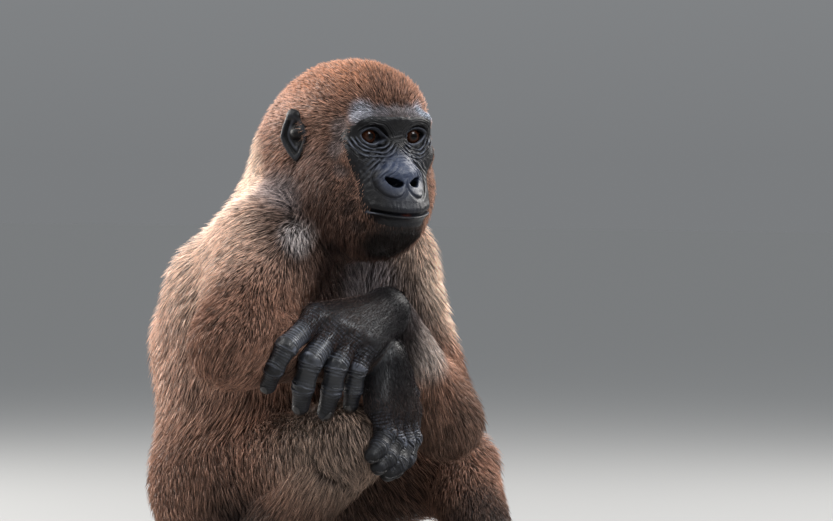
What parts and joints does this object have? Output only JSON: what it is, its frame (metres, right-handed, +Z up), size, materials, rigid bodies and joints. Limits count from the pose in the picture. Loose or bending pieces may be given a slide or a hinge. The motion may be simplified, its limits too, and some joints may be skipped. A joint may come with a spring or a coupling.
{
  "type": "gorilla",
  "caption": "Life-size still model of a young gorilla, sitting with crossed forearms and one hand laid over the other arm.",
  "frame": {"origin": "middle of the small flat under the rump, on the floor", "axes": "+Z up, -Y the way the chest faces, +X the animal's left side"},
  "size_m": [0.4716, 0.5077, 0.5581],
  "materials": {
    "coat": "long brown hair with pale tips",
    "crown_coat": "short dense chestnut hair",
    "dark_coat": "dark brown hair",
    "bare_skin": "black wrinkled skin, half matte",
    "eye": "wet dark brown eye"
  },
  "bodies": {
    "root": {"ear_l": "bare_skin", "ear_r": "bare_skin", "eye_l": "eye", "eye_r": "eye", "face": "bare_skin", "fifth_toe_l": "bare_skin", "fifth_toe_r": "bare_skin", "foot_l": "bare_skin", "foot_r": "bare_skin", "forearm_l": "coat", "forearm_r": "coat", "fourth_toe_l": "bare_skin", "fourth_toe_r": "bare_skin", "great_toe_l": "bare_skin", "great_toe_r": "bare_skin", "hand_l": "bare_skin", "hand_r": "bare_skin", "head": "crown_coat", "index_l": "bare_skin", "index_r": "bare_skin", "jaw": "bare_skin", "little_l": "bare_skin", "little_r": "bare_skin", "middle_l": "bare_skin", "middle_r": "bare_skin", "neck": "coat", "ring_l": "bare_skin", "ring_r": "bare_skin", "second_toe_l": "bare_skin", "second_toe_r": "bare_skin", "shin_l": "coat", "shin_r": "coat", "thigh_l": "dark_coat", "thigh_r": "dark_coat", "third_toe_l": "bare_skin", "third_toe_r": "bare_skin", "thumb_l": "bare_skin", "thumb_r": "bare_skin", "trunk": "coat", "upper_arm_l": "coat", "upper_arm_r": "coat"}
  },
  "joints": []
}
